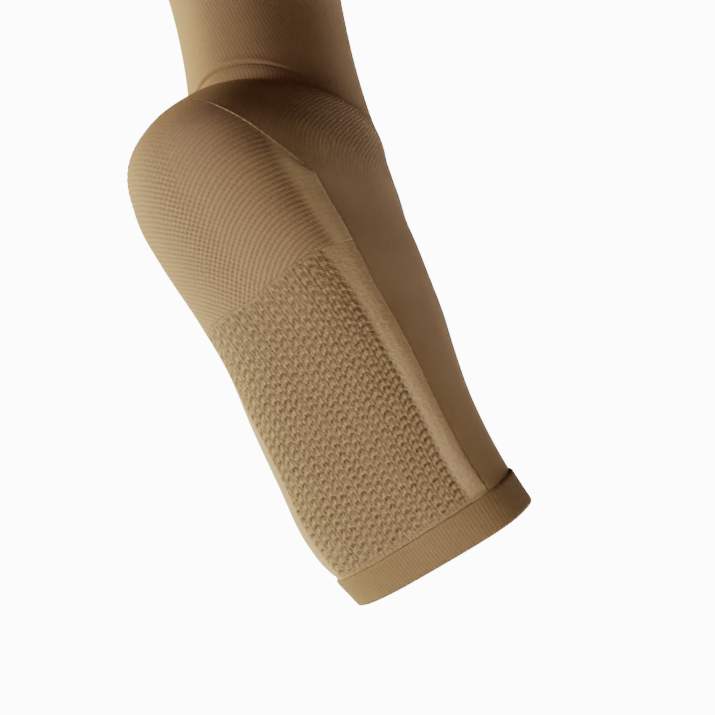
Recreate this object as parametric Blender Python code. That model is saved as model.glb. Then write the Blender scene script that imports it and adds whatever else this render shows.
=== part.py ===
# Open-toe compression stocking, knee-high, for a left foot, in its worn and pointed pose.
# Row frame: the origin is the centre of the top opening, +Z runs up the leg, -Y to the toes,
# and -X is the inner side of the foot. The stocking hangs below its top opening.

import math
from collections import namedtuple

import bmesh
import bpy
import numpy as np
from mathutils import Vector

# All the sizes below are millimetres, taken from the ankle joint, and become metres at the end.
MM = 0.001
POINT_ANGLE = 50.0      # how far the foot points down from square to the leg, degrees
ANKLE_ALONG = 57.0      # ankle joint from the back of the heel, along the foot
ANKLE_HEIGHT = 69.0     # ankle joint above the sole
TOP_HEIGHT = 335.0      # top edge above the ankle joint
TOP_MIDDLE = 3.0        # middle of the top opening behind the ankle joint

KNIT_WALL = 1.2         # compression knit of the leg and the instep
HEEL_WALL = 1.3         # closer knit of the heel pocket
SOLE_WALL = 1.8         # tuck mesh of the sole, its loops included
BAND_WALL = 2.4         # folded bands at the top and at the toes
TOE_BAND_PROUD = 1.0    # toe band above the knit beside it
TOP_BAND_PROUD = 0.5    # top band above the knit beside it
SEAM_GAP = 0.3          # clear space between neighbouring pieces

TOP_BAND_END = 30.0     # stations, measured down the middle of the surface from the top edge
HEEL_TOP = 335.0
MESH_TOP = 407.0
TOE_BAND_TOP = 495.8
TOE_END = 510.2
INNER_COLUMNS = 9       # from the back or sole line to the seam line, each side
OUTER_COLUMNS = 11      # from the seam line to the front line, each side
ARC_SAMPLES = 241


def leg_point(height, y):
    """A point of the mid plane (y, z), given up the leg from the ankle joint."""
    return (y, height)


def foot_point(along, height):
    """A point of the mid plane (y, z), given along the foot from the heel and above the sole."""
    turn = math.radians(POINT_ANGLE)
    ahead = along - ANKLE_ALONG
    above = height - ANKLE_HEIGHT
    y = -math.cos(turn) * ahead - math.sin(turn) * above
    z = -math.sin(turn) * ahead + math.cos(turn) * above
    return (y, z)


# One row for each section round the stocking, from the top edge to the toe edge.
# front, back: its points on the front line and on the back or sole line
# width: half its width; inward: its shift to the inner side; lean: the same for its front only
# belly: how far from the back its widest line is; front_power, back_power: squareness (2 is round)
Section = namedtuple("Section", "front back width inward lean belly front_power back_power")
SECTIONS = [
    Section(leg_point(335, -50), leg_point(335, 56), 52, 0, 0, 0.50, 2.0, 2.0),
    Section(leg_point(270, -51), leg_point(270, 64), 56, 0, 0, 0.50, 2.0, 2.0),
    Section(leg_point(195, -46), leg_point(195, 53), 47, 0, 0, 0.50, 2.0, 2.0),
    Section(leg_point(125, -42), leg_point(125, 36.5), 35.5, 0.5, 0, 0.50, 2.0, 2.0),
    Section(leg_point(80, -41), leg_point(80, 33), 32, 0.5, 0, 0.50, 2.0, 2.0),
    Section(leg_point(55, -41), leg_point(55, 33.5), 32.5, 0.5, 0, 0.50, 2.0, 2.0),
    Section(leg_point(36, -41.5), leg_point(38, 35), 33.5, 0.5, 0, 0.50, 2.1, 2.1),
    Section(leg_point(26, -42), leg_point(32, 41.5), 35, 0.5, 0, 0.50, 2.2, 2.2),
    Section(leg_point(17, -42.5), foot_point(4, 57.5), 36, 1, 0, 0.50, 2.2, 2.2),
    Section(leg_point(8, -42.5), foot_point(-0.5, 45), 37, 1, 1, 0.50, 2.2, 2.3),
    Section(leg_point(-1, -42), foot_point(-0.5, 27), 38.5, 1.5, 2, 0.50, 2.2, 2.4),
    Section(leg_point(-10, -42), foot_point(5, 11), 39.5, 2.5, 3, 0.47, 2.2, 2.5),
    Section(leg_point(-19, -41.5), foot_point(18, 3), 39.5, 3, 4, 0.44, 2.2, 2.6),
    Section(leg_point(-30, -40.5), foot_point(38, 0), 38.5, 3.5, 6, 0.42, 2.3, 2.7),
    Section(foot_point(117, 71), foot_point(62, 0.5), 38, 4.5, 7, 0.40, 2.3, 2.7),
    Section(foot_point(128, 64), foot_point(88, 2), 38, 4, 7, 0.40, 2.3, 2.8),
    Section(foot_point(140, 56), foot_point(114, 3), 39.5, 2, 7, 0.38, 2.2, 3.0),
    Section(foot_point(153, 49), foot_point(140, 2.5), 40.5, 0, 7, 0.38, 2.1, 3.0),
    Section(foot_point(169, 43), foot_point(165, 1), 41.5, -2, 8, 0.40, 2.1, 2.9),
    Section(foot_point(183, 39), foot_point(183, 0.5), 41, -1, 8, 0.42, 2.1, 2.8),
    Section(foot_point(196, 36.5), foot_point(196, 1.5), 40.5, 0, 8, 0.45, 2.1, 2.6),
    Section(foot_point(203, 35.2), foot_point(203, 2), 40.2, 0.5, 8, 0.46, 2.1, 2.5),
]

# The creases pressed into the knit, across the back of the ankle just above the heel.
# station: where it crosses the back line; droop: how far it hangs down on both sides;
# reach: the share of a half turn it runs to each side; height: out of the knit; width: of it
Crease = namedtuple("Crease", "station droop reach height width")
CREASES = [
    Crease(288.5, 27.0, 0.42, -1.6, 2.4),
    Crease(284.0, 27.0, 0.40, 1.0, 3.0),
    Crease(293.5, 27.0, 0.38, 0.5, 3.0),
]

# Runs of rows round the stocking: up to which station, and how many rows take it there.
Run = namedtuple("Run", "end rows")
RUNS = [
    Run(TOP_BAND_END, 4),
    Run(262.0, 17),
    Run(279.0, 3),
    Run(300.0, 10),
    Run(HEEL_TOP, 6),
    Run(372.0, 6),
    Run(MESH_TOP, 5),
    Run(TOE_BAND_TOP, 12),
    Run(TOE_END, 3),
]

# How the rows run at a station. tilt: up one side and down the other; cap: down on both sides,
# which shapes the top of the heel pocket; seam: where the seam line is, as a share of a half turn
RowKey = namedtuple("RowKey", "station tilt cap seam")
ROW_KEYS = [
    RowKey(0.0, 0.0, 0.0, 0.45),
    RowKey(262.0, 0.0, 0.0, 0.38),
    RowKey(279.0, 0.0, 12.0, 0.36),
    RowKey(298.0, 0.0, 14.0, 0.33),
    RowKey(335.0, 0.0, 33.0, 0.305),
    RowKey(372.0, 0.0, 0.0, 0.333),
    RowKey(394.0, -9.0, -3.0, 0.345),
    RowKey(407.0, -14.0, -5.0, 0.345),
    RowKey(422.0, -13.4, -4.2, 0.345),
    RowKey(442.0, -12.8, -3.0, 0.37),
    RowKey(466.0, -12.0, -1.6, 0.39),
    RowKey(495.8, -11.0, 0.0, 0.42),
    RowKey(510.2, -9.0, 0.0, 0.43),
]


def section_table():
    """The sections as numbers, and the station of each: the mean run of its front and back."""
    table = np.array([(*row.front, *row.back, *row[2:]) for row in SECTIONS], float)
    front_run = np.linalg.norm(np.diff(table[:, 0:2], axis=0), axis=1)
    back_run = np.linalg.norm(np.diff(table[:, 2:4], axis=0), axis=1)
    stations = np.concatenate([[0.0], np.cumsum((front_run + back_run) / 2)])
    return stations, table


STATIONS, TABLE = section_table()


def section_at(station):
    """The section at a station, by smooth cubics through the table's rows."""
    steps = np.diff(STATIONS)
    slopes = np.diff(TABLE, axis=0) / steps[:, None]
    tangents = np.empty_like(TABLE)
    tangents[0] = slopes[0]
    tangents[-1] = slopes[-1]
    before = steps[:-1, None]
    after = steps[1:, None]
    tangents[1:-1] = (after * slopes[:-1] + before * slopes[1:]) / (before + after)
    k = int(np.clip(np.searchsorted(STATIONS, station, side="right") - 1, 0, len(steps) - 1))
    step = steps[k]
    x = (station - STATIONS[k]) / step
    start = (2 * x**3 - 3 * x**2 + 1) * TABLE[k] + (x**3 - 2 * x**2 + x) * step * tangents[k]
    end = (3 * x**2 - 2 * x**3) * TABLE[k + 1] + (x**3 - x**2) * step * tangents[k + 1]
    return start + end


def half_section(section, side):
    """Points down one side of a section, from its back to its front, with their run so far."""
    front = np.array([0.0, section[0], section[1]])
    back = np.array([0.0, section[2], section[3]])
    width, inward, lean, belly, front_power, back_power = section[4:]
    depth = np.linalg.norm(front - back)
    axis = (front - back) / depth
    angle = np.linspace(0.0, math.pi, ARC_SAMPLES)
    across = np.abs(np.sin(angle))
    ahead = np.abs(np.cos(angle))
    ease = np.clip(np.cos(angle) * 2.5, -1, 1)
    share = 0.5 - 0.5 * ease * (1.5 - 0.5 * ease**2)
    power = back_power + (front_power - back_power) * share
    in_back = np.cos(angle) > 0
    run = np.where(in_back, -belly * depth, (1 - belly) * depth) * ahead ** (2 / power)
    x = -side * width * across ** (2 / power) - inward - lean * (run / depth + belly)
    middle = back + axis * depth * belly
    points = middle + np.outer(run, axis) + np.outer(x, [1.0, 0.0, 0.0])
    lengths = np.linalg.norm(np.diff(points, axis=0), axis=1)
    return points, np.concatenate([[0.0], np.cumsum(lengths)])


def smooth_point(station, turn):
    """A point of the smooth surface. turn: 0 at the back, 1 at the front, below 0 outer side."""
    side = 1 if turn >= 0 else -1
    points, run = half_section(section_at(station), side)
    goal = abs(turn) * run[-1]
    return np.array([np.interp(goal, run, points[:, axis]) for axis in range(3)])


def smooth_normal(station, turn):
    """The outward normal of the smooth surface."""
    down = smooth_point(station + 0.5, turn) - smooth_point(station - 0.5, turn)
    round_step = smooth_point(station, turn + 0.004) - smooth_point(station, turn - 0.004)
    normal = np.cross(down, round_step)
    return normal / np.linalg.norm(normal)


def crease_height(station, turn):
    """How far the creases push the knit out of the smooth surface."""
    height = 0.0
    for crease in CREASES:
        if abs(turn) < crease.reach:
            off = station - crease.station - crease.droop * (1 - math.cos(math.pi * turn))
            window = math.cos(turn / crease.reach * math.pi / 2) ** 2
            height += crease.height * window * math.exp(-((off / crease.width) ** 2))
    return height


def row_lean(turn):
    """How far a tilted row has moved at a turn, for a tilt of one."""
    return math.sin(math.pi * turn) / math.pi


def row_cap(turn, seam):
    """How far a capped row has moved at a turn: a rounded V to the seam, then back to none."""
    reach = min(abs(turn), seam)
    rounding = 0.05
    vee = (math.hypot(reach, rounding) - rounding) / (math.hypot(seam, rounding) - rounding)
    if abs(turn) <= seam:
        return vee
    return 0.5 + 0.5 * math.cos(math.pi * (abs(turn) - seam) / (1 - seam))


def row_stations():
    """The station of every row where it crosses the back line."""
    stations = [0.0]
    for run in RUNS:
        start = stations[-1]
        stations += [start + (run.end - start) * k / run.rows for k in range(1, run.rows + 1)]
    return stations


def column_turns(seam):
    """The turns of the columns, from the back line round by the inner side to the back again."""
    inner = [seam * k / INNER_COLUMNS for k in range(INNER_COLUMNS)]
    outer = [seam + (1 - seam) * k / OUTER_COLUMNS for k in range(OUTER_COLUMNS + 1)]
    one_side = inner + outer
    return one_side + [-turn for turn in reversed(one_side[1:-1])]


def build_net():
    """Points and outward normals of the whole surface, by row and column."""
    keys = np.array(ROW_KEYS, float)
    points = []
    normals = []
    for station in row_stations():
        tilt, cap, seam = [np.interp(station, keys[:, 0], keys[:, k]) for k in (1, 2, 3)]
        for turn in column_turns(seam):
            moved = station + tilt * row_lean(turn) + cap * row_cap(turn, seam)
            normal = smooth_normal(moved, turn)
            point = smooth_point(moved, turn) + normal * crease_height(moved, turn)
            points.append(point - [0.0, TOP_MIDDLE, TOP_HEIGHT])
            normals.append(normal)
    shape = (len(row_stations()), -1, 3)
    return np.array(points).reshape(shape) * MM, np.array(normals).reshape(shape)


POINTS, NORMALS = build_net()
ROW_STATIONS = row_stations()
COLUMNS = POINTS.shape[1]


def row_of(station):
    """The row that lies at a station named above."""
    return min(range(len(ROW_STATIONS)), key=lambda k: abs(ROW_STATIONS[k] - station))


ALL_ROUND = list(range(COLUMNS))
SOLE_SIDE = [k % COLUMNS for k in range(-INNER_COLUMNS, INNER_COLUMNS)]
FRONT_SIDE = list(range(INNER_COLUMNS, COLUMNS - INNER_COLUMNS))


def knit_material(name, color, roughness):
    """A plain cloth material."""
    material = bpy.data.materials.new(name)
    material.use_nodes = True
    shader = material.node_tree.nodes["Principled BSDF"]
    shader.inputs["Base Color"].default_value = (*color, 1.0)
    shader.inputs["Roughness"].default_value = roughness
    shader.inputs["Metallic"].default_value = 0.0
    return material


def pull_in(bm, amount):
    """Moves the open edges of a patch into it, along the cloth."""
    moves = {}
    for vert in bm.verts:
        edges = [edge for edge in vert.link_edges if edge.is_boundary]
        if not edges:
            continue
        total = vert.co * 0
        for edge in edges:
            face = edge.link_faces[0]
            along = (edge.verts[1].co - edge.verts[0].co).normalized()
            inward = face.normal.cross(along)
            middle = (edge.verts[0].co + edge.verts[1].co) / 2
            if inward.dot(face.calc_center_median() - middle) < 0:
                inward.negate()
            total += inward
        total.normalize()
        moves[vert] = total * amount
    for vert, move in moves.items():
        vert.co += move


def knit_piece(name, spans, wall, material, proud=0.0):
    """One piece of knit: the cells of the given rows and columns, with a wall on their inside."""
    bm = bmesh.new()
    verts = {}
    outward = {}

    def vertex(row, column):
        key = (row, column % COLUMNS)
        if key not in verts:
            verts[key] = bm.verts.new(POINTS[key])
            outward[verts[key]] = Vector(NORMALS[key])
        return verts[key]

    for first, last, columns in spans:
        for row in range(first, last):
            for column in columns:
                bm.faces.new((
                    vertex(row, column),
                    vertex(row + 1, column),
                    vertex(row + 1, column + 1),
                    vertex(row, column + 1),
                ))
    bm.normal_update()
    pull_in(bm, SEAM_GAP / 2 * MM)
    for vert, normal in outward.items():
        vert.co += normal * proud * MM
    outer = list(outward.items())
    inner = {}
    for vert, normal in outer:
        inner[vert] = bm.verts.new(vert.co - normal * wall * MM)
    rims = [edge for edge in bm.edges if edge.is_boundary]
    outer_faces = list(bm.faces)
    for edge in rims:
        loop = edge.link_loops[0]
        start = loop.vert
        end = loop.link_loop_next.vert
        bm.faces.new((end, start, inner[start], inner[end]))
    for face in outer_faces:
        bm.faces.new([inner[vert] for vert in reversed(face.verts)])
    for face in bm.faces:
        face.smooth = True
    mesh = bpy.data.meshes.new(name)
    bm.to_mesh(mesh)
    bm.free()
    mesh.materials.append(material)
    piece = bpy.data.objects.new(name, mesh)
    bpy.context.scene.collection.objects.link(piece)
    return piece


for old in list(bpy.data.objects):
    bpy.data.objects.remove(old, do_unlink=True)

leg_knit = knit_material("leg_knit", (0.36, 0.25, 0.14), 0.75)
heel_knit = knit_material("heel_knit", (0.40, 0.28, 0.16), 0.8)
sole_mesh_knit = knit_material("sole_mesh_knit", (0.34, 0.24, 0.13), 0.85)
band_knit = knit_material("band_knit", (0.33, 0.24, 0.13), 0.8)

top = row_of(0.0)
band_end = row_of(TOP_BAND_END)
heel_top = row_of(HEEL_TOP)
mesh_top = row_of(MESH_TOP)
toe_band = row_of(TOE_BAND_TOP)
toe_end = row_of(TOE_END)

knit_piece("top_band", [(top, band_end, ALL_ROUND)], BAND_WALL, band_knit, TOP_BAND_PROUD)
knit_piece(
    "leg",
    [(band_end, heel_top, ALL_ROUND), (heel_top, toe_band, FRONT_SIDE)],
    KNIT_WALL,
    leg_knit,
)
knit_piece("heel", [(heel_top, mesh_top, SOLE_SIDE)], HEEL_WALL, heel_knit)
knit_piece("sole", [(mesh_top, toe_band, SOLE_SIDE)], SOLE_WALL, sole_mesh_knit)
knit_piece("toe_band", [(toe_band, toe_end, ALL_ROUND)], BAND_WALL, band_knit, TOE_BAND_PROUD)
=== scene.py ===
# Open-toe compression stocking for a left foot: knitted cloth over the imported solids,
# with the camera, a plain floor and soft studio light.
# Everything is modelled in millimetres from the ankle joint, and ends in the solids' frame.

import math

import bmesh
import bpy
import numpy as np
from mathutils import Matrix, Vector


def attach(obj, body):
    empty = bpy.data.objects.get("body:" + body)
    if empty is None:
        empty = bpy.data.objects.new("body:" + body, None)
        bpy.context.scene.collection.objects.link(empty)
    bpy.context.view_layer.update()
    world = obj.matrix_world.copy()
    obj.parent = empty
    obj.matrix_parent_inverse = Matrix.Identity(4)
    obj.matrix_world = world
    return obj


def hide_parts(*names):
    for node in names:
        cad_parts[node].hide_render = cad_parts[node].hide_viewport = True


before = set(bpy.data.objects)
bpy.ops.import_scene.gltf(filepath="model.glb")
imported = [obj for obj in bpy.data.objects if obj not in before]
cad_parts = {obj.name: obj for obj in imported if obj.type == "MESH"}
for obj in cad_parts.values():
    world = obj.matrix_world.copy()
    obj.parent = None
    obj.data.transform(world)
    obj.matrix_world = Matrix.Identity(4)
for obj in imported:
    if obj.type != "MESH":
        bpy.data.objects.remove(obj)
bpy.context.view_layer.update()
print("solids loaded")

mm = 0.001    # in metres, the unit of the solids' frame

# the worn stocking's form; a station is a place down its surface, in mm from the top edge
stockingForm = {
    "footDown": 50.0,        # degrees the foot points down from square to the leg
    "ankleAlong": 57.0,      # ankle joint from the back of the heel
    "ankleHeight": 69.0,     # ankle joint above the sole
    "topHeight": 335.0,      # top edge above the ankle joint
    "topMiddle": 3.0,        # middle of the top opening behind the joint
    "bandEnd": 30.0,         # station of the top band's lower edge
    "heelTop": 335.0,
    "meshTop": 407.0,
    "toeBandTop": 495.8,
    "toeEnd": 510.2,
    "sideBlend": 2.5,        # how quickly a section's squareness changes from back to front
    "veeRound": 0.05,        # rounding of a capped row's tip, in half turns
}

formGrid = {
    "turns": 360,            # samples round the cloth
    "sidePoints": 241,       # points along one side of a section
    "first": -2,             # stations sampled, one for each mm
    "end": 518,
}


# points of the middle plane, as y to the back and z up from the ankle joint
def legPoint(height, y):
    return (y, height)


def footPoint(along, height):
    # along the foot from the back of the heel, and above the sole
    turn = math.radians(stockingForm["footDown"])
    ahead = along - stockingForm["ankleAlong"]
    above = height - stockingForm["ankleHeight"]
    y = -math.cos(turn) * ahead - math.sin(turn) * above
    z = -math.sin(turn) * ahead + math.cos(turn) * above
    return (y, z)


# a section in each row: front point, back point, half width, shift inward, lean of the front,
# share of the depth where it is widest, squareness of the front and of the back
formSections = [
    (legPoint(335, -50), legPoint(335, 56), 52, 0, 0, 0.50, 2.0, 2.0),
    (legPoint(270, -51), legPoint(270, 64), 56, 0, 0, 0.50, 2.0, 2.0),
    (legPoint(195, -46), legPoint(195, 53), 47, 0, 0, 0.50, 2.0, 2.0),
    (legPoint(125, -42), legPoint(125, 36.5), 35.5, 0.5, 0, 0.50, 2.0, 2.0),
    (legPoint(80, -41), legPoint(80, 33), 32, 0.5, 0, 0.50, 2.0, 2.0),
    (legPoint(55, -41), legPoint(55, 33.5), 32.5, 0.5, 0, 0.50, 2.0, 2.0),
    (legPoint(36, -41.5), legPoint(38, 35), 33.5, 0.5, 0, 0.50, 2.1, 2.1),
    (legPoint(26, -42), legPoint(32, 41.5), 35, 0.5, 0, 0.50, 2.2, 2.2),
    (legPoint(17, -42.5), footPoint(4, 57.5), 36, 1, 0, 0.50, 2.2, 2.2),
    (legPoint(8, -42.5), footPoint(-0.5, 45), 37, 1, 1, 0.50, 2.2, 2.3),
    (legPoint(-1, -42), footPoint(-0.5, 27), 38.5, 1.5, 2, 0.50, 2.2, 2.4),
    (legPoint(-10, -42), footPoint(5, 11), 39.5, 2.5, 3, 0.47, 2.2, 2.5),
    (legPoint(-19, -41.5), footPoint(18, 3), 39.5, 3, 4, 0.44, 2.2, 2.6),
    (legPoint(-30, -40.5), footPoint(38, 0), 38.5, 3.5, 6, 0.42, 2.3, 2.7),
    (footPoint(117, 71), footPoint(62, 0.5), 38, 4.5, 7, 0.40, 2.3, 2.7),
    (footPoint(128, 64), footPoint(88, 2), 38, 4, 7, 0.40, 2.3, 2.8),
    (footPoint(140, 56), footPoint(114, 3), 39.5, 2, 7, 0.38, 2.2, 3.0),
    (footPoint(153, 49), footPoint(140, 2.5), 40.5, 0, 7, 0.38, 2.1, 3.0),
    (footPoint(169, 43), footPoint(165, 1), 41.5, -2, 8, 0.40, 2.1, 2.9),
    (footPoint(183, 39), footPoint(183, 0.5), 41, -1, 8, 0.42, 2.1, 2.8),
    (footPoint(196, 36.5), footPoint(196, 1.5), 40.5, 0, 8, 0.45, 2.1, 2.6),
    (footPoint(203, 35.2), footPoint(203, 2), 40.2, 0.5, 8, 0.46, 2.1, 2.5),
]

# how the rows run: station, tilt to one side, cap on both sides, seam line's share of a half turn
rowKeys = [
    (0.0, 0.0, 0.0, 0.45),
    (262.0, 0.0, 0.0, 0.38),
    (279.0, 0.0, 12.0, 0.36),
    (298.0, 0.0, 14.0, 0.33),
    (335.0, 0.0, 33.0, 0.305),
    (372.0, 0.0, 0.0, 0.333),
    (394.0, -9.0, -3.0, 0.345),
    (407.0, -14.0, -5.0, 0.345),
    (422.0, -13.4, -4.2, 0.345),
    (442.0, -12.8, -3.0, 0.37),
    (466.0, -12.0, -1.6, 0.39),
    (495.8, -11.0, 0.0, 0.42),
    (510.2, -9.0, 0.0, 0.43),
]

# creases behind the ankle: station on the back line, droop on both sides, reach to each side,
# height out of the knit, width
ankleCreases = [
    (288.5, 27.0, 0.40, -1.1, 0.55),
    (286.8, 27.0, 0.36, 0.45, 1.3),
    (291.6, 27.0, 0.36, 0.5, 2.4),
]


def valueAt(x, pairs):
    places, values = np.array(pairs, float).T
    return np.interp(x, places, values)


def runAlong(line):
    return np.concatenate([[0.0], np.cumsum(np.linalg.norm(np.diff(line, axis=0), axis=1))])


def sectionNumbers():
    # each section's station, halfway between the runs down the front and down the back
    table = np.array([(*row[0], *row[1], *row[2:]) for row in formSections], float)
    return (runAlong(table[:, 0:2]) + runAlong(table[:, 2:4])) / 2, table


def sectionAt(station, stations, table):
    # a smooth curve through the sections' numbers
    steps = np.diff(stations)
    slopes = np.diff(table, axis=0) / steps[:, None]
    tangents = np.empty_like(table)
    tangents[0] = slopes[0]
    tangents[-1] = slopes[-1]
    before = steps[:-1, None]
    after = steps[1:, None]
    tangents[1:-1] = (after * slopes[:-1] + before * slopes[1:]) / (before + after)
    k = int(np.clip(np.searchsorted(stations, station, side="right") - 1, 0, len(steps) - 1))
    x = (station - stations[k]) / steps[k]
    start = (2 * x**3 - 3 * x**2 + 1) * table[k] + (x**3 - 2 * x**2 + x) * steps[k] * tangents[k]
    end = (3 * x**2 - 2 * x**3) * table[k + 1] + (x**3 - x**2) * steps[k] * tangents[k + 1]
    return start + end


def halfSection(section, side):
    # one side of a section, from its back point to its front point, and the run along it
    front = np.array([0.0, section[0], section[1]])
    back = np.array([0.0, section[2], section[3]])
    width, inward, lean, belly, frontPower, backPower = section[4:]
    depth = np.linalg.norm(front - back)
    axis = (front - back) / depth
    angle = np.linspace(0.0, math.pi, formGrid["sidePoints"])
    across = np.abs(np.sin(angle))
    ahead = np.abs(np.cos(angle))
    ease = np.clip(np.cos(angle) * stockingForm["sideBlend"], -1, 1)
    power = backPower + (frontPower - backPower) * (0.5 - 0.5 * ease * (1.5 - 0.5 * ease**2))
    inBack = np.cos(angle) > 0
    run = np.where(inBack, -belly * depth, (1 - belly) * depth) * ahead ** (2 / power)
    x = -side * width * across ** (2 / power) - inward - lean * (run / depth + belly)
    points = back + axis * depth * belly + np.outer(run, axis) + np.outer(x, [1.0, 0.0, 0.0])
    return points, runAlong(points)


def sampleForm():
    stations, table = sectionNumbers()
    turns = np.arange(formGrid["turns"]) * 2 / formGrid["turns"] - 1
    samples = []
    girths = []
    for station in range(formGrid["first"], formGrid["end"]):
        section = sectionAt(float(station), stations, table)
        row = np.zeros((len(turns), 3))
        girth = 0.0
        for side in (1, -1):
            points, run = halfSection(section, side)
            girth += run[-1]
            mine = turns * side >= 0
            goal = np.abs(turns[mine]) * run[-1]
            row[mine] = np.stack([np.interp(goal, run, points[:, k]) for k in range(3)], 1)
        samples.append(row)
        girths.append(girth)
    return np.array(samples), np.array(girths)


formSamples, formGirths = sampleForm()


def cubicWeights(x):
    # shares of the four samples round a place, for a smooth curve through them
    return (
        -0.5 * x + x**2 - 0.5 * x**3,
        1 - 2.5 * x**2 + 1.5 * x**3,
        0.5 * x + 2 * x**2 - 1.5 * x**3,
        -0.5 * x**2 + 0.5 * x**3,
    )


def formPoint(station, turn):
    # turn: 0 on the back line and 1 on the front line, or -1 where it goes round the outer side
    rows, columns = formSamples.shape[:2]
    down = np.clip(station - formGrid["first"], 1.0, rows - 3.001)
    around = (turn + 1) * columns / 2
    row = np.floor(down).astype(int)
    column = np.floor(around).astype(int)
    rowWeights = cubicWeights(down - row)
    columnWeights = cubicWeights(around - column)
    total = 0.0
    for i in range(4):
        for j in range(4):
            weight = (rowWeights[i] * columnWeights[j])[..., None]
            total = total + weight * formSamples[row + i - 1, (column + j - 1) % columns]
    return total


def formNormal(station, turn):
    step = 0.6
    turnStep = 0.005
    down = formPoint(station + step, turn) - formPoint(station - step, turn)
    around = formPoint(station, turn + turnStep) - formPoint(station, turn - turnStep)
    normal = np.cross(down, around)
    return normal / np.linalg.norm(normal, axis=-1, keepdims=True)


def creaseHeight(station, turn):
    height = np.zeros_like(station)
    for middle, droop, reach, out, width in ankleCreases:
        off = station - middle - droop * (1 - np.cos(np.pi * turn))
        window = np.cos(np.clip(turn / reach, -1, 1) * np.pi / 2) ** 2
        height += out * window * bell(off, 0, width)
    return height


def rowPlace(row, turn):
    # the station that a tilted and capped row has at a turn
    keys = np.array(rowKeys)
    tilt, cap, seam = [np.interp(row, keys[:, 0], keys[:, k]) for k in (1, 2, 3)]
    size = np.abs(turn)
    tip = stockingForm["veeRound"]
    vee = (np.hypot(np.minimum(size, seam), tip) - tip) / (np.hypot(seam, tip) - tip)
    fade = 0.5 + 0.5 * np.cos(np.pi * (size - seam) / (1 - seam))
    return row + tilt * np.sin(np.pi * turn) / np.pi + cap * np.where(size <= seam, vee, fade)


def netPlace(row, column):
    # row: station on the back line; column: -1 to 1 round, with the seam lines at -0.5 and 0.5
    keys = np.array(rowKeys)
    seam = np.interp(row, keys[:, 0], keys[:, 3])
    size = np.abs(column)
    turn = np.where(size < 0.5, size * 2 * seam, seam + (1 - seam) * (size * 2 - 1))
    turn = turn * np.sign(column)
    return rowPlace(row, turn), turn


def toSolidsFrame(points):
    moved = points - np.array([0.0, stockingForm["topMiddle"], stockingForm["topHeight"]])
    return moved * mm


def girthAt(station):
    return np.interp(station, np.arange(formGrid["first"], formGrid["end"]), formGirths)


def arcAt(station, turn):
    # mm round the cloth from the back line, to the inner side
    return turn * girthAt(station) / 2


def smoothStep(x):
    x = np.clip(x, 0, 1)
    return x * x * (3 - 2 * x)


def fadeIn(x, start, over):
    # 0 at the start and 1 past it; over less than nothing fades in towards lower values
    return smoothStep((x - start) / over)


def bell(x, middle, width):
    return np.exp(-(((x - middle) / width) ** 2))


print("form sampled")

clothGrid = {
    "knitScale": 0.01,       # of the UV map: one unit is 100 mm of knit
    "joinDistance": 0.01,    # mm, points that lie closer are one where a tube closes
}


def gridMesh(name, rows, columns):
    # a grid to be shaped, and each point's place on it: x round and y down, from 0 to 1
    bm = bmesh.new()
    bmesh.ops.create_grid(bm, x_segments=columns, y_segments=rows, size=0.5)
    mesh = bpy.data.meshes.new(name)
    bm.to_mesh(mesh)
    bm.free()
    flat = np.zeros(len(mesh.vertices) * 3)
    mesh.vertices.foreach_get("co", flat)
    flat = flat.reshape(-1, 3)
    return mesh, flat[:, 0] + 0.5, 0.5 - flat[:, 1]


def cornerPoints(mesh):
    corners = np.zeros(len(mesh.loops), np.int32)
    mesh.loops.foreach_get("vertex_index", corners)
    return corners


def shapeMesh(mesh, points, knitPlace, paintedShade=0.0, weave=0.5, relief=1.0):
    # knitPlace: where each point lies along both ways of the knit, in mm
    # paintedShade: painted shade, 0 on the yarn and 1 in a hole; weave: 0 where only the first way
    # shows, 1 the second
    # relief: how strongly the knit's lines show
    mesh.vertices.foreach_set("co", toSolidsFrame(points).ravel())
    knitMap = mesh.uv_layers.new(name="knitPlace")
    place = np.stack(knitPlace, 1) * clothGrid["knitScale"]
    knitMap.data.foreach_set("uv", place[cornerPoints(mesh)].ravel())
    for name, values in (("paintedShade", paintedShade), ("weave", weave), ("relief", relief)):
        layer = mesh.attributes.new(name, "FLOAT", "POINT")
        values = np.clip(values + np.zeros(len(points)), 0, 1)
        layer.data.foreach_set("value", values.astype(np.float32))
    mesh.update()


def finishPiece(mesh, name, node, material, wall, dropFaces=None, closeRound=False):
    bm = bmesh.new()
    bm.from_mesh(mesh)
    if dropFaces is not None:
        bm.faces.ensure_lookup_table()
        bmesh.ops.delete(bm, geom=[bm.faces[k] for k in dropFaces], context="FACES")
    if closeRound:
        bmesh.ops.remove_doubles(bm, verts=bm.verts, dist=clothGrid["joinDistance"] * mm)
    for face in bm.faces:
        face.smooth = True
    bm.to_mesh(mesh)
    bm.free()
    mesh.materials.append(material)
    piece = bpy.data.objects.new(name, mesh)
    bpy.context.scene.collection.objects.link(piece)
    if wall:
        thicken = piece.modifiers.new("Wall", "SOLIDIFY")
        thicken.thickness = wall * mm
        thicken.offset = -1.0
    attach(piece, "root")
    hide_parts(node)
    return piece


def linearColor(hexText):
    values = [int(hexText[k : k + 2], 16) / 255 for k in (1, 3, 5)]
    return [v / 12.92 if v <= 0.04045 else ((v + 0.055) / 1.055) ** 2.4 for v in values]


def addNode(tree, kind, settings=None, links=None):
    node = tree.nodes.new(kind)
    for key, value in (settings or {}).items():
        if isinstance(key, str) and hasattr(node, key):
            setattr(node, key, value)
        else:
            node.inputs[key].default_value = value
    for key, socket in (links or {}).items():
        tree.links.new(socket, node.inputs[key])
    return node


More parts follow.
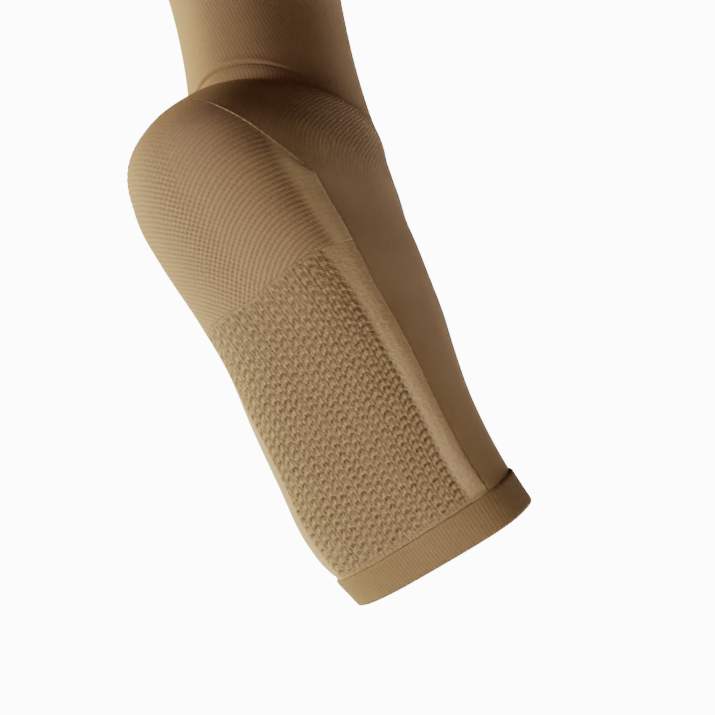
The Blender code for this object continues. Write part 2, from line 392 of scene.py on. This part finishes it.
def knitMaterial(name, look):
    # two ways of lines and the eyes of the loops make one height; its low places and the places
    # that the cloth marks take painted shade, mixed towards the darker shade colour
    material = bpy.data.materials.new(name)
    material.use_nodes = True
    tree = material.node_tree
    tree.nodes.clear()
    output = addNode(tree, "ShaderNodeOutputMaterial")
    place = addNode(tree, "ShaderNodeUVMap", {"uv_map": "knitPlace"})
    ways = addNode(tree, "ShaderNodeSeparateXYZ", links={0: place.outputs["UV"]})
    spot = addNode(tree, "ShaderNodeTexCoord")
    noises = {}
    for key, size, detail in (
        ("fine", look["fuzzSize"], 3.0),
        ("bend", look["wobbleSize"], 1.0),
        ("blotch", look["blotchSize"], 2.0),
    ):
        noises[key] = addNode(
            tree,
            "ShaderNodeTexNoise",
            {"Scale": 1000 / size, "Detail": detail, "Roughness": 0.6},
            {"Vector": spot.outputs["Object"]},
        )
    weave = addNode(tree, "ShaderNodeAttribute", {"attribute_name": "weave"})
    relief = addNode(tree, "ShaderNodeAttribute", {"attribute_name": "relief"})
    paintedShade = addNode(tree, "ShaderNodeAttribute", {"attribute_name": "paintedShade"})
    bend = addNode(
        tree,
        "ShaderNodeMath",
        {"operation": "MULTIPLY", 1: look["wobble"]},
        {0: noises["bend"].outputs["Fac"]},
    )
    beads = addNode(
        tree,
        "ShaderNodeMath",
        {"operation": "MULTIPLY_ADD", 1: look["beads"], 2: 1 - look["beads"] / 2},
        {0: noises["fine"].outputs["Fac"]},
    )
    height = addNode(
        tree,
        "ShaderNodeMath",
        {"operation": "MULTIPLY"},
        {0: relief.outputs["Fac"], 1: beads.outputs[0]},
    )
    loops = addNode(
        tree,
        "ShaderNodeTexVoronoi",
        {
            "voronoi_dimensions": "2D",
            "Scale": 1 / (look["loopSize"] * clothGrid["knitScale"]),
            "Randomness": 0.7,
        },
        {"Vector": place.outputs["UV"]},
    )
    # the second number puts the middle of the loops' height at about 0
    waves = addNode(
        tree,
        "ShaderNodeMath",
        {"operation": "MULTIPLY_ADD", 1: look["loops"], 2: -0.4 * look["loops"]},
        {0: loops.outputs["Distance"]},
    )
    # each way fades out towards the end of the weave where only the other one shows
    for way, pitch, strength, faded in (
        ("X", look["pitches"][0], look["heights"][0], 1.0),
        ("Y", look["pitches"][1], look["heights"][1], 0.0),
    ):
        angle = addNode(
            tree,
            "ShaderNodeMath",
            {"operation": "MULTIPLY_ADD", 1: 2 * math.pi / (pitch * clothGrid["knitScale"])},
            {0: ways.outputs[way], 2: bend.outputs[0]},
        )
        wave = addNode(tree, "ShaderNodeMath", {"operation": "COSINE"}, {0: angle.outputs[0]})
        share = addNode(
            tree,
            "ShaderNodeMapRange",
            {
                "From Min": faded,
                "From Max": 0.5,
                "To Min": look["least"] * strength * 0.5,
                "To Max": strength * 0.5,
            },
            {"Value": weave.outputs["Fac"]},
        )
        waves = addNode(
            tree,
            "ShaderNodeMath",
            {"operation": "MULTIPLY_ADD"},
            {0: wave.outputs[0], 1: share.outputs["Result"], 2: waves.outputs[0]},
        )
    lifted = addNode(
        tree,
        "ShaderNodeMath",
        {"operation": "MULTIPLY_ADD", 2: 0.5},
        {0: waves.outputs[0], 1: height.outputs[0]},
    )
    rough = addNode(
        tree,
        "ShaderNodeMath",
        {"operation": "MULTIPLY_ADD", 1: look["fuzz"]},
        {0: noises["fine"].outputs["Fac"], 2: lifted.outputs[0]},
    )
    # painted shade in the low places of the knit's height
    paintedGroove = addNode(
        tree,
        "ShaderNodeMapRange",
        {"From Min": 0.1, "From Max": 1.1, "To Min": look["paintedGrooveShade"], "To Max": 0.0},
        {"Value": rough.outputs[0]},
    )
    # painted shade: the cloth's marked places and the low places of the knit
    shade = addNode(
        tree,
        "ShaderNodeMath",
        {"operation": "MULTIPLY_ADD", 1: look["paintedShadeStrength"], "use_clamp": True},
        {0: paintedShade.outputs["Fac"], 2: paintedGroove.outputs["Result"]},
    )
    tint = addNode(
        tree,
        "ShaderNodeMix",
        {
            "data_type": "RGBA",
            6: (*linearColor(look["yarn"]), 1.0),
            7: (*linearColor(look["yarnWarm"]), 1.0),
        },
        {0: noises["blotch"].outputs["Fac"]},
    )
    color = addNode(
        tree,
        "ShaderNodeMix",
        {"data_type": "RGBA", 7: (*linearColor(look["shade"]), 1.0)},
        {0: shade.outputs[0], 6: tint.outputs[2]},
    )
    bump = addNode(
        tree,
        "ShaderNodeBump",
        {"Strength": look["bump"], "Distance": look["bumpHeight"] * mm},
        {"Height": rough.outputs[0]},
    )
    shader = addNode(
        tree,
        "ShaderNodeBsdfPrincipled",
        {
            "Roughness": look["roughness"],
            "Metallic": 0.0,
            "IOR": 1.5,
            "Specular IOR Level": look["specular"],
        },
        {"Base Color": color.outputs[2], "Normal": bump.outputs["Normal"]},
    )
    tree.links.new(shader.outputs[0], output.inputs["Surface"])
    return material


# Nylon yarn round an elastane core, circular knitted: dull, with fine wales and a soft fuzz.
# Its lines are drawn as coarse as they need to be to show.
legLook = {
    "yarn": "#b79c80",
    "yarnWarm": "#af9376",
    # the colour that the painted shade mixes towards
    "shade": "#634834",
    "pitches": (1.5, 2.0),   # mm between the lines of each way
    "heights": (0.3, 0.2),
    "least": 0.2,            # what still shows of a way where the other one rules
    "wobble": 2.0,           # how far the lines wander, in radians
    "wobbleSize": 6.7,       # and over how many mm
    "beads": 1.6,            # how unevenly the yarn stands out along them
    "loops": 0.3,            # how deep the eyes of the single loops look
    "loopSize": 1.1,         # and how far apart they are, in mm
    "paintedGrooveShade": 0.25,     # how much painted shade the low places take
    "paintedShadeStrength": 0.5,      # and the cloth's hollows and other places it marks for painted shade
    "fuzz": 0.4,             # how high the loose fibres stand
    "fuzzSize": 1.1,         # mm from one to the next
    "blotchSize": 22.0,      # mm from a paler place to a warmer one
    "bump": 0.4,
    "bumpHeight": 0.4,       # mm
    "roughness": 0.85,
    "specular": 0.15,
}

# The same yarns knitted closer in a heel pocket: curved fine lines that cross in the middle.
heelLook = dict(
    legLook,
    # the stripe's colour; the rest of the heel takes painted shade, so the stripe reads lit
    yarn="#d8bfa5",
    yarnWarm="#d0b69b",
    shade="#6c4730",
    pitches=(1.55, 1.55),
    heights=(0.7, 0.7),
    wobble=2.6,
    beads=2.2,
    fuzz=0.8,
    bump=0.6,
    paintedGrooveShade=0.34,
)

# Tuck mesh: thick bright loops round open arched holes; the holes take painted shade, the raised
# loops less.
soleLook = dict(
    legLook,
    yarn="#cdb298",
    yarnWarm="#c4a88d",
    shade="#4d3a26",
    pitches=(2.075, 0.875),
    heights=(0.15, 0.35),
    least=1.0,
    loops=1.2,
    loopSize=1.8,
    fuzz=1.0,
    fuzzSize=1.25,
    bump=0.7,
    paintedGrooveShade=0.35,
    paintedShadeStrength=0.65,
)

# Folded double knit with faint ribs along the foot.
bandLook = dict(
    legLook,
    yarn="#9f866e",
    yarnWarm="#977d65",
    pitches=(1.5, 0.8),
    heights=(0.2, 0.2),
    least=1.0,
)

legKnit = knitMaterial("nylonLegKnit", legLook)
heelKnit = knitMaterial("nylonHeelKnit", heelLook)
soleKnit = knitMaterial("nylonTuckMesh", soleLook)
bandKnit = knitMaterial("nylonBandKnit", bandLook)
print("knit materials made")

# the plain margin beside the seam line: it stands up a little and turns down sharply at it
marginForm = {
    "rise": 0.9,
    "climb": (0.78, 0.17),   # from where it climbs and over how much, in shares of the way out
    "drop": (1.012, -0.03),  # and where it turns down
}


def edgeRise(column):
    size = np.abs(column) * 2
    margin = marginForm
    return margin["rise"] * fadeIn(size, *margin["climb"]) * fadeIn(size, *margin["drop"])


legPiece = {
    "wall": 1.2,
    "innerColumns": 30,      # from the back line to the seam line, each side
    "outerColumns": 40,      # from the seam line to the front line, each side
    # rows of the grid down to each station, closer at the creases
    "rowRuns": [(262.0, 96), (283.0, 28), (292.0, 34), (305.0, 22), (335.0, 50), (495.8, 126)],
    "wales": 150,            # round the leg
    # how far the wales lean at a station: mm to the inner side for each mm down
    "lean": [(225, 0.0), (245, 0.3), (285, 0.3), (310, 0.0), (335, -0.3), (352, -0.42), (375, 0.0)],
    # where something starts, and over how many mm it fades in
    "courseSide": (2, -14),      # the second way of the knit, by the arc
    "courseEnd": (295, -12),     # and by the station
    "courseMost": 0.7,
    "calmStart": (345, 35),      # the smooth instep, by the station
    "calmSide": (38, 8),         # and by the arc
    "calm": 0.85,
    # painted shade in the groove of the ankle crease
    "paintedCreaseShade": 0.5,
}


def makeLeg():
    leg = legPiece
    form = stockingForm
    inner = leg["innerColumns"]
    outer = leg["outerColumns"]
    counts = np.cumsum([0] + [count for end, count in leg["rowRuns"]])
    ends = [form["bandEnd"]] + [end for end, count in leg["rowRuns"]]
    rows = int(counts[-1])
    mesh, x, y = gridMesh("legCloth", rows, 2 * (inner + outer))
    row = np.interp(np.round(y * rows), counts, ends)
    size = np.abs(x * 2 - 1) * (inner + outer)
    column = np.where(size < inner, size / inner * 0.5, 0.5 + (size - inner) / outer * 0.5)
    column *= np.sign(x - 0.5)
    station, turn = netPlace(row, column)
    height = creaseHeight(station, turn)
    points = formPoint(station, turn) + formNormal(station, turn) * height[:, None]
    marks = np.arange(formGrid["end"])
    shift = np.cumsum(valueAt(marks, leg["lean"]))
    wales = turn * leg["wales"] / 2 * legLook["pitches"][0] - np.interp(station, marks, shift)
    arc = arcAt(station, turn)
    calm = fadeIn(station, *leg["calmStart"]) * fadeIn(np.abs(arc), *leg["calmSide"])
    courses = fadeIn(arc, *leg["courseSide"]) * fadeIn(station, *leg["courseEnd"])
    # the crease's groove takes painted shade
    shapeMesh(
        mesh,
        points,
        (wales, station),
        paintedShade=np.clip(-height, 0, 1) * leg["paintedCreaseShade"],
        weave=courses * leg["courseMost"],
        relief=1 - leg["calm"] * calm,
    )
    corners = cornerPoints(mesh).reshape(-1, 4)
    faceRow = row[corners].mean(1)
    faceColumn = np.abs(column[corners].mean(1))
    inSole = (faceRow > form["heelTop"]) & (faceColumn < 0.5)
    piece = finishPiece(
        mesh,
        "legCloth",
        "leg",
        legKnit,
        leg["wall"],
        dropFaces=np.nonzero(inSole)[0],
        closeRound=True,
    )


makeLeg()
print("leg and instep made")

heelPiece = {
    "wall": 1.3,
    "rows": 150,
    "columns": 140,
    "proud": 0.3,            # above the leg's knit beside it
    "proudOver": 30,         # mm down from the seam line at the heel's top
    "marginStart": (345, 30),    # station where the margin starts to rise, and over how many mm
    # arc and station that each way of the lines runs round
    "centres": ((64.0, 479.0), (-74.0, 479.0)),
    "crossing": (9, -28),    # arc where the second way comes in
    "linesStart": (338, 40),     # station where the lines start
    "stripe": (36, 6),       # arc where the smooth stripe beside the seam line starts
    "stripeCalm": 0.8,
    "paintedKnitShade": 0.88,       # how much painted shade the knit beside the stripe takes, leaving the stripe lighter as if lit
}


def makeHeel():
    heel = heelPiece
    form = stockingForm
    mesh, x, y = gridMesh("heelCloth", heel["rows"], heel["columns"])
    row = form["heelTop"] + (form["meshTop"] - form["heelTop"]) * y
    column = x - 0.5
    station, turn = netPlace(row, column)
    out = heel["proud"] * fadeIn(row, form["heelTop"], heel["proudOver"])
    out += edgeRise(column) * fadeIn(row, *heel["marginStart"])
    points = formPoint(station, turn) + formNormal(station, turn) * out[:, None]
    arc = arcAt(station, turn)
    stripe = fadeIn(np.abs(arc), *heel["stripe"])
    # painted shade on the knit beside the stripe, which leaves the stripe lighter as if lit
    shapeMesh(
        mesh,
        points,
        [np.hypot(arc - side, station - low) for side, low in heel["centres"]],
        paintedShade=heel["paintedKnitShade"] * (1 - stripe),
        weave=fadeIn(arc, *heel["crossing"]),
        relief=(1 - heel["stripeCalm"] * stripe) * fadeIn(station, *heel["linesStart"]),
    )
    piece = finishPiece(mesh, "heelCloth", "heel", heelKnit, heel["wall"])


makeHeel()
print("heel pocket made")

solePiece = {
    "wall": 1.8,
    "rows": 246,
    "columns": 196,
    "proud": 0.3,
    "middle": 445.6,         # station of the mesh's middle; down is measured from it, in mm
    "across": (4.35, 3.95),  # mm between the columns of loops, at the heel and at the toes
    "acrossChange": (-50, 110),  # mm down from where that changes, and over how many mm
    "firstColumn": 1.64,     # where the columns and the rows are counted from, in loops
    "firstRow": -0.025,
    "skew": 0.0008,          # how much closer together they are on the inner side
    "widen": 6.2e-5,         # and how much wider apart on both sides
    "columnLean": 0.043,     # mm to the inner side for each mm down
    "rowLift": 0.030,        # how much earlier the rows come on the inner side, per mm
    "liftGrowth": 0.00043,   # and how much more of that for each mm down
    "meshColumns": (-5, 9),  # the first and the last column, counted from the sole line
    "oneMore": (-10, 65),    # mm down where one more comes in on the outer side, and over how many
    # mm between the loops of one column, by mm down from the middle of the mesh
    "down": [(-65, 4.4), (-45, 4.35), (-33, 4.0), (-20, 3.72), (0, 3.47), (70, 3.45)],
    # size of the arched holes and how deep they are, by mm down
    "holeSizes": [(-45, 0.7), (-25, 0.85), (-12, 1.0), (12, 1.0), (30, 0.8), (50, 0.75)],
    "holeDepths": [(-45, 0.5), (-20, 0.8), (0, 1.0)],
    "edgeColumn": (0.55, 0.15),  # how far past its last column the mesh ends, in loops
    "edgeRow": (0.3, 1.6, 1.2),  # mm from the heel and from the band, and over how many mm
    "plainRelief": 0.35,
    "paintedMeshShade": 0.55,       # painted shade of the mesh where it has no relief
    "marginEnd": (495, -8),  # station where the margin's rise runs out
    "ditch": (0.9, 0.8, 0.5, 0.3),  # before the band: mm from it, width, depth and painted shade
}

# one loop of the mesh, in mm from the top of its arched hole
meshLoop = {
    "across": 4.15,
    "down": 3.5,
    "aside": 0.1,            # the holes beside the middle of their column, in loops
    "late": 0.35,            # and below the start of their row
    "above": 0.27,           # what lies above the hole's top, in loops
    "centre": 1.1,           # of the hole
    "stretch": (1.15, 1.05),     # of its shape, across and down
    "archWidth": 0.36,
    "archEnd": (1.8, -0.9),
    "ring": (1.72, 0.24),    # a raised line round the hole: radius and width
    "ringEnd": (1.6, -1.5),
    "ringLow": 0.6,          # share of it that is left below
    "tongue": (2.35, 0.6, 0.8),      # the yarn below the hole: place down, width and height
    "crest": (-0.45, 1.55, 0.42, 0.7),   # both shoulders: down, aside, width and height
    "between": (2.0, 0.25),  # the line between two columns
    "rises": (0.5, 0.45, 0.1),   # of the tongue, the crest and the ring, in mm
    "drops": (0.5, 0.3),     # of the hole and of the line between
    "paintedShades": (0.68, 0.32, 0.15),    # painted shade of the flat, and more in the hole and between
    "sizeSpread": 0.3,
    "depthSpread": 0.7,
}


def loopPlace(arc, down):
    # the loop's column and row at a place on the sole, as running numbers
    sole = solePiece
    start, over = sole["acrossChange"]
    share = np.clip((down - start) / over, 0, 1)
    across = sole["across"][0] + (sole["across"][1] - sole["across"][0]) * share
    spread = arc + sole["skew"] * arc**2 - sole["widen"] * arc**3
    column = sole["firstColumn"] + (spread - sole["columnLean"] * down) / across
    marks = np.arange(sole["down"][0][0], sole["down"][-1][0] + 1.0)
    count = np.cumsum(1 / valueAt(marks, sole["down"]))
    count -= np.interp(0.0, marks, count)
    row = np.interp(down, marks, count) + sole["firstRow"]
    return column, row + arc * (sole["rowLift"] + sole["liftGrowth"] * down)


def wrapped(y, period):
    # y from the nearest repeat
    return (y + period / 2) % period - period / 2


def meshRelief(column, row, size, strength):
    # height in mm and painted shade of the mesh, less on its raised loops; the columns are half a
    # loop out of step
    loop = meshLoop
    nearest = np.round(column - loop["aside"])
    x = (column - loop["aside"] - nearest) * loop["across"]
    drop = row - nearest / 2 - loop["late"] + loop["above"]
    number = np.floor(drop)
    y = (drop - number - loop["above"]) * loop["down"]
    # no two loops are quite alike: a number between 0 and 1 for each
    uneven = np.sin(nearest * 12.99 + number * 78.23) * 43.76 % 1
    size = size * (1 + loop["sizeSpread"] * (uneven - 0.5))
    strength = strength * (1 + loop["depthSpread"] * (uneven * 7.3 % 1 - 0.5))
    wide, tall = loop["stretch"]
    radius = np.hypot(x / wide, (y - loop["centre"]) / tall)
    arch = bell(radius, size, loop["archWidth"]) * fadeIn(y, *loop["archEnd"]) * strength
    ringShare = loop["ringLow"] + (1 - loop["ringLow"]) * fadeIn(y, *loop["ringEnd"])
    ring = bell(radius, *loop["ring"]) * ringShare
    low, wide, tall = loop["tongue"]
    tongue = bell(x, 0, wide) * bell(wrapped(y - low, loop["down"]), 0, tall)
    low, aside, wide, tall = loop["crest"]
    crest = bell(np.abs(x), aside, wide) * bell(wrapped(y - low, loop["down"]), 0, tall)
    between = bell(np.abs(x), *loop["between"])
    raised = sum(rise * part for rise, part in zip(loop["rises"], (tongue, crest, ring)))
    height = raised - loop["drops"][0] * arch - loop["drops"][1] * between
    flat, inHole, inLine = loop["paintedShades"]
    return height, flat + inHole * arch + inLine * between - raised


def makeSole():
    form = stockingForm
    sole = solePiece
    mesh, x, y = gridMesh("soleCloth", sole["rows"], sole["columns"])
    row = form["meshTop"] + (form["toeBandTop"] - form["meshTop"]) * y
    side = x - 0.5
    station, turn = netPlace(row, side)
    arc = arcAt(station, turn)
    marks = np.linspace(form["meshTop"] - 20, form["toeEnd"], 120)
    run = runAlong(formPoint(marks, marks * 0.0))
    down = np.interp(station, marks, run) - np.interp(sole["middle"], marks, run)
    column, count = loopPlace(arc, down)
    size = valueAt(down, sole["holeSizes"])
    strength = valueAt(down, sole["holeDepths"])
    height, paintedHoleShade = meshRelief(column, count, size, strength)
    first, last = sole["meshColumns"]
    first = first - fadeIn(down, *sole["oneMore"])
    past, over = sole["edgeColumn"]
    inMesh = fadeIn(column, first - past, over) * fadeIn(column, last + past, -over)
    fromHeel, fromBand, over = sole["edgeRow"]
    window = inMesh * fadeIn(row, form["meshTop"] + fromHeel, over)
    window *= fadeIn(row, form["toeBandTop"] - fromBand, -over)
    # the ditch before the band takes painted shade
    away, wide, deep, paintedDitchShade = sole["ditch"]
    ditch = bell(row, form["toeBandTop"] - away, wide)
    out = sole["proud"] + window * height + edgeRise(side) * fadeIn(row, *sole["marginEnd"])
    out -= deep * ditch
    points = formPoint(station, turn) + formNormal(station, turn) * out[:, None]
    # painted shade of the mesh, and of the ditch before the band
    shade = sole["paintedMeshShade"] + window * (paintedHoleShade - sole["paintedMeshShade"])
    plain = sole["plainRelief"]
    shapeMesh(
        mesh,
        points,
        (column * meshLoop["across"], count * meshLoop["down"]),
        paintedShade=np.maximum(inMesh * shade, ditch * paintedDitchShade),
        relief=plain + (1 - plain) * inMesh,
    )
    piece = finishPiece(mesh, "soleCloth", "sole", soleKnit, sole["wall"])


makeSole()
print("mesh sole made")

bandPieces = {
    "toeBand": {
        "node": "toe_band",
        "top": 495.95,
        "end": 510.2,
        "wall": 2.4,
        "proud": 1.0,        # out of the form, like the ribs' height in mm
        "columns": 720,
        "ribPitch": 1.5,
        "ribHeight": 0.03,
        "flat": (0.21, 0.016),
    },
    "topBand": {
        "node": "top_band",
        "top": 0.0,
        "end": 30.0,
        "wall": 2.4,
        "proud": 0.5,
        "columns": 480,
        "ribPitch": 2.4,
        "ribHeight": 0.1,
        "flat": (0.34, 0.031),
    },
}

# a band's closed profile: outer side, fold, inner side, fold
bandProfile = {
    "rows": 44,
    "shares": [0.0, 0.32, 0.5, 0.82, 1.0],   # of the rows, at the end of each
    "ribsFrom": -0.2,        # mm out of the wall's middle; the inner side is smooth
    # painted shade between the ribs
    "paintedRibShade": 0.06,
}


def makeBand(name):
    band = bandPieces[name]
    profile = bandProfile
    length = band["end"] - band["top"]
    radius = band["wall"] / 2
    mesh, x, y = gridMesh(name + "Cloth", profile["rows"], band["columns"])
    parts = [length - 2 * radius, math.pi * radius] * 2
    ends = np.concatenate([[0.0], np.cumsum(parts)])
    run = np.interp(y, profile["shares"], ends)
    part = np.clip(np.searchsorted(ends, run, side="right") - 1, 0, 3)
    local = run - ends[part]
    bend = local / radius
    down = np.select(
        [part == 0, part == 1, part == 2],
        [radius + local, length - radius + radius * np.sin(bend), length - radius - local],
        radius - radius * np.sin(bend),
    )
    out = np.select(
        [part == 0, part == 1, part == 2],
        [np.full_like(local, radius), radius * np.cos(bend), np.full_like(local, -radius)],
        -radius * np.cos(bend),
    )
    turn = x * 2 - 1
    station = rowPlace(band["top"] + down, turn)
    ribs = round(girthAt(band["end"]) / band["ribPitch"])
    wave = np.cos(np.pi * ribs * turn) * (out > profile["ribsFrom"])
    out = out + band["proud"] - radius + band["ribHeight"] * wave
    points = formPoint(station, turn) + formNormal(station, turn) * out[:, None]
    around = turn * ribs / 2 * band["ribPitch"]
    # painted shade between the ribs
    shapeMesh(mesh, points, (around, run), paintedShade=profile["paintedRibShade"] * (0.5 - 0.5 * wave))
    piece = finishPiece(
        mesh, name + "Cloth", band["node"], bandKnit, 0.0, closeRound=True
    )


makeBand("toeBand")
makeBand("topBand")
print("bands made")

# the line of stitches along both seam lines and over the top of the heel
seamPiece = {
    "radius": 0.2,
    "thin": 0.25,            # share of that radius where the stitches don't show
    "stitchPitch": 2.6,
    "stitchHeight": 0.2,
    "rise": 0.05,
    "rows": 1100,
    "sides": 8,
    "sidePoints": 161,       # of the line it follows, on each side and over the heel
    "topPoints": 121,
    "tangentStep": 0.7,
    "heelStart": (372, -20),     # station where the stitches begin to show
    "backEnd": (14, 14),     # mm from the back line where they show no more
}


def pointAlong(goal, run, line):
    return np.stack([np.interp(goal, run, line[:, k]) for k in range(3)], 1)


def makeSeam():
    seam = seamPiece
    form = stockingForm
    side = np.linspace(form["toeBandTop"], form["heelTop"], seam["sidePoints"])
    top = np.linspace(-0.5, 0.5, seam["topPoints"])[1:-1]
    row = np.concatenate([side, np.full_like(top, form["heelTop"]), side[::-1]])
    column = np.concatenate([np.full_like(side, -0.5), top, np.full_like(side, 0.5)])
    station, turn = netPlace(row, column)
    line = formPoint(station, turn) + formNormal(station, turn) * seam["rise"]
    run = runAlong(line)
    mesh, x, y = gridMesh("seamStitches", seam["rows"], seam["sides"])
    goal = y * run[-1]
    centre = pointAlong(goal, run, line)
    tangent = pointAlong(goal + seam["tangentStep"], run, line)
    tangent -= pointAlong(goal - seam["tangentStep"], run, line)
    tangent /= np.linalg.norm(tangent, axis=1, keepdims=True)
    stationHere = np.interp(goal, run, station)
    turnHere = np.interp(goal, run, turn)
    up = formNormal(stationHere, turnHere)
    sideways = np.cross(tangent, up)
    sideways /= np.linalg.norm(sideways, axis=1, keepdims=True)
    heelShare = fadeIn(np.interp(goal, run, row), *seam["heelStart"])
    heelShare *= fadeIn(np.abs(arcAt(stationHere, turnHere)), *seam["backEnd"])
    stitch = np.abs(np.sin(np.pi * goal / seam["stitchPitch"])) ** 4
    radius = seam["radius"] * (seam["thin"] + (1 - seam["thin"]) * heelShare)
    radius += seam["stitchHeight"] * stitch * heelShare
    angle = x * 2 * math.pi
    outward = up * np.cos(angle)[:, None] + sideways * np.sin(angle)[:, None]
    shapeMesh(mesh, centre + outward * radius[:, None], (angle, goal))
    finishPiece(mesh, "seamStitches", "heel", heelKnit, 0.0, closeRound=True)


makeSeam()
print("seam made")

# Painted board for the floor: matt, with no pattern. Sizes are in metres.
studio = {
    "floorSize": 12.0,
    "floorHeight": -1.3,
    "floorColor": "#e9e7e3",
    "floorGlow": 13.0,       # keeps the floor pale beyond the lamps, as the backdrop is
    "floorRoughness": 0.8,
    "ambient": 0.035,        # the light from all round
    "ambientColor": "#ff8062",
    "backdrop": 12.0,        # how bright the camera sees it
    "lampSize": 0.8,
}


def makeFloor():
    bm = bmesh.new()
    bmesh.ops.create_grid(bm, x_segments=1, y_segments=1, size=studio["floorSize"])
    bmesh.ops.translate(bm, verts=bm.verts, vec=(0, 0, studio["floorHeight"]))
    mesh = bpy.data.meshes.new("studioFloor")
    bm.to_mesh(mesh)
    bm.free()
    material = bpy.data.materials.new("paintedFloorBoard")
    material.use_nodes = True
    tree = material.node_tree
    color = (*linearColor(studio["floorColor"]), 1.0)
    shader = tree.nodes["Principled BSDF"]
    shader.inputs["Base Color"].default_value = color
    shader.inputs["Roughness"].default_value = studio["floorRoughness"]
    shader.inputs["Emission Color"].default_value = color
    seen = addNode(tree, "ShaderNodeLightPath")
    glow = addNode(
        tree,
        "ShaderNodeMath",
        {"operation": "MULTIPLY", 1: studio["floorGlow"]},
        {0: seen.outputs["Is Camera Ray"]},
    )
    tree.links.new(glow.outputs[0], shader.inputs["Emission Strength"])
    mesh.materials.append(material)
    floor = bpy.data.objects.new("studioFloor", mesh)
    bpy.context.scene.collection.objects.link(floor)


def makeBackdrop():
    world = bpy.data.worlds.new("studioWorld")
    world.use_nodes = True
    tree = world.node_tree
    tree.nodes.clear()
    path = addNode(tree, "ShaderNodeLightPath")
    level = addNode(
        tree,
        "ShaderNodeMapRange",
        {"To Min": studio["ambient"], "To Max": studio["backdrop"]},
        {"Value": path.outputs["Is Camera Ray"]},
    )
    tone = addNode(
        tree,
        "ShaderNodeMix",
        {
            "data_type": "RGBA",
            6: (*linearColor(studio["ambientColor"]), 1.0),
            7: (1.0, 1.0, 1.0, 1.0),
        },
        {0: path.outputs["Is Camera Ray"]},
    )
    sky = addNode(
        tree,
        "ShaderNodeBackground",
        links={"Color": tone.outputs[2], "Strength": level.outputs["Result"]},
    )
    output = addNode(tree, "ShaderNodeOutputWorld")
    tree.links.new(sky.outputs[0], output.inputs["Surface"])
    bpy.context.scene.world = world


cameraView = {
    "place": (-0.4875, 0.7304, -0.8072),
    "aim": (-0.0197, 0.0037, -0.4127),
    "roll": -11.9,
    "lens": 129.1,
}


def aimAt(place, aim, roll=0.0):
    facing = (Vector(aim) - Vector(place)).to_track_quat("-Z", "Y").to_matrix().to_4x4()
    return Matrix.Translation(place) @ facing @ Matrix.Rotation(math.radians(roll), 4, "Z")


def makeCamera():
    data = bpy.data.cameras.new("mainCamera")
    data.lens = cameraView["lens"]
    data.sensor_width = 36.0
    data.clip_start = 0.05
    camera = bpy.data.objects.new("mainCamera", data)
    camera.matrix_world = aimAt(cameraView["place"], cameraView["aim"], cameraView["roll"])
    bpy.context.scene.collection.objects.link(camera)
    bpy.context.scene.camera = camera
    return camera


# lamps are placed as the camera sees them: right, up and towards it, in metres from its aim
studioLights = {
    "back": {"from": (0.16, -0.76, -1.84), "power": 58.0, "color": "#dcecff"},
    "highLeftBack": {"from": (-1.3, 0.7, -1.34), "power": 15.0, "color": "#ffdc94"},
    "left": {"from": (-1.92, -0.1, 0.5), "power": 28.0, "color": "#fff4e4"},
    "lowLeft": {"from": (-1.69, -0.56, -0.91), "power": 54.0, "color": "#f8ff8c"},
    "rightBack": {"from": (1.62, -0.8, -0.85), "power": 32.0, "color": "#fffaf2"},
    "front": {"from": (-0.3, 0.06, 1.98), "power": 3.0, "color": "#ffd8c8"},
}


def makeLights(camera):
    for name, light in studioLights.items():
        data = bpy.data.lights.new(name, "AREA")
        data.shape = "DISK"
        data.size = studio["lampSize"]
        data.energy = light["power"]
        data.color = linearColor(light["color"])
        aim = Vector(cameraView["aim"])
        place = aim + camera.matrix_world.to_3x3() @ Vector(light["from"])
        lamp = bpy.data.objects.new(name, data)
        lamp.matrix_world = aimAt(place, aim)
        bpy.context.scene.collection.objects.link(lamp)


makeFloor()
makeBackdrop()
makeLights(makeCamera())
print("studio made")
